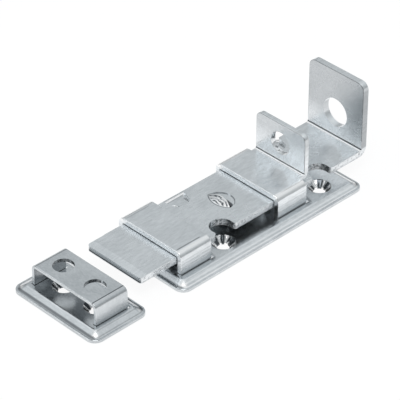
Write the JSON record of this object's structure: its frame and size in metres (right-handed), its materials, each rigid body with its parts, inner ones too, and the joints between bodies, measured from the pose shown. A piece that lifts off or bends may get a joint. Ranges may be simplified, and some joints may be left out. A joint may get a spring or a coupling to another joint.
{
  "type": "sliding door bolt",
  "caption": "Padlockable sliding door bolt: a flat notched bar in strap guides on a pressed base plate, with a fixed lug and a separate bridge-shaped keeper.",
  "frame": {"origin": "centre of the rectangle of door screws, on the door's surface", "axes": "+Z away from the door, -X the way the bolt shoots towards the keeper, +Y across the bolt"},
  "size_m": [0.1564, 0.0486, 0.0412],
  "materials": {
    "plate_zinc": "bright zinc plating over pressed sheet",
    "strap_zinc": "bright zinc plating over bent strip",
    "bolt_zinc": "bright zinc plating with fine lengthwise brushing"
  },
  "bodies": {
    "base": {"base_plate": "plate_zinc", "front_guide": "strap_zinc", "rear_guide": "strap_zinc", "keeper_plate": "plate_zinc", "keeper_strap": "strap_zinc"},
    "bolt": {"sliding_bolt": "bolt_zinc"}
  },
  "joints": [
    {"name": "bolt_slide", "type": "slide", "parent": "base", "child": "bolt", "axis": [-1, 0, 0], "range_m": [-0.0135, 0.0183]}
  ]
}
